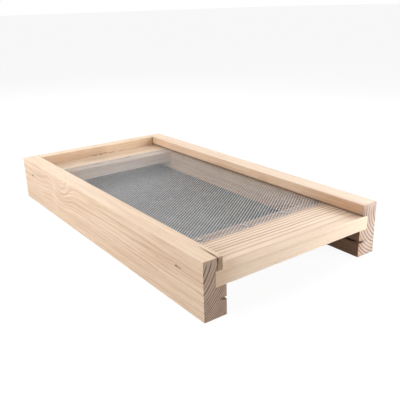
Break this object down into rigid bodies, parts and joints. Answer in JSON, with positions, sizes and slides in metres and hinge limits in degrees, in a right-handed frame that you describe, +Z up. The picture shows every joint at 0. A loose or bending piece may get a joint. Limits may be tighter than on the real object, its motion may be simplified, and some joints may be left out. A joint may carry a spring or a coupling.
{
  "type": "screened bottom board",
  "caption": "Wooden bottom board for a small beehive: grooved side rails, front and rear boards, a stapled expanded-metal screen and a sheet-metal debris tray that slides out at the back.",
  "frame": {"origin": "middle of the footprint, on the surface that the rails stand on", "axes": "+X across the board to the right as seen from the entrance, +Y from the entrance to the back, +Z up"},
  "size_m": [0.285, 0.5414, 0.0725],
  "materials": {
    "rail_wood": "planed, unfinished pine",
    "board_wood": "planed, unfinished pine",
    "rear_rail_wood": "planed, unfinished pine",
    "galvanised_mesh": "galvanised, dull",
    "galvanised_sheet": "galvanised, spangled",
    "staple_wire": "galvanised wire"
  },
  "bodies": {
    "board": {"left_rail": "rail_wood", "right_rail": "rail_wood", "front_board": "board_wood", "rear_board": "board_wood", "rear_rail": "rear_rail_wood", "left_strip": "board_wood", "right_strip": "board_wood", "screen": "galvanised_mesh", "front_screen_staples": "staple_wire", "rear_screen_staples": "staple_wire", "left_rail_staples": "staple_wire", "right_rail_staples": "staple_wire", "rear_rail_staples": "staple_wire"},
    "tray": {"tray": "galvanised_sheet"}
  },
  "joints": [
    {"name": "tray_slide", "type": "slide", "parent": "board", "child": "tray", "axis": [0, 1, 0], "range_m": [0, 0.48]}
  ]
}
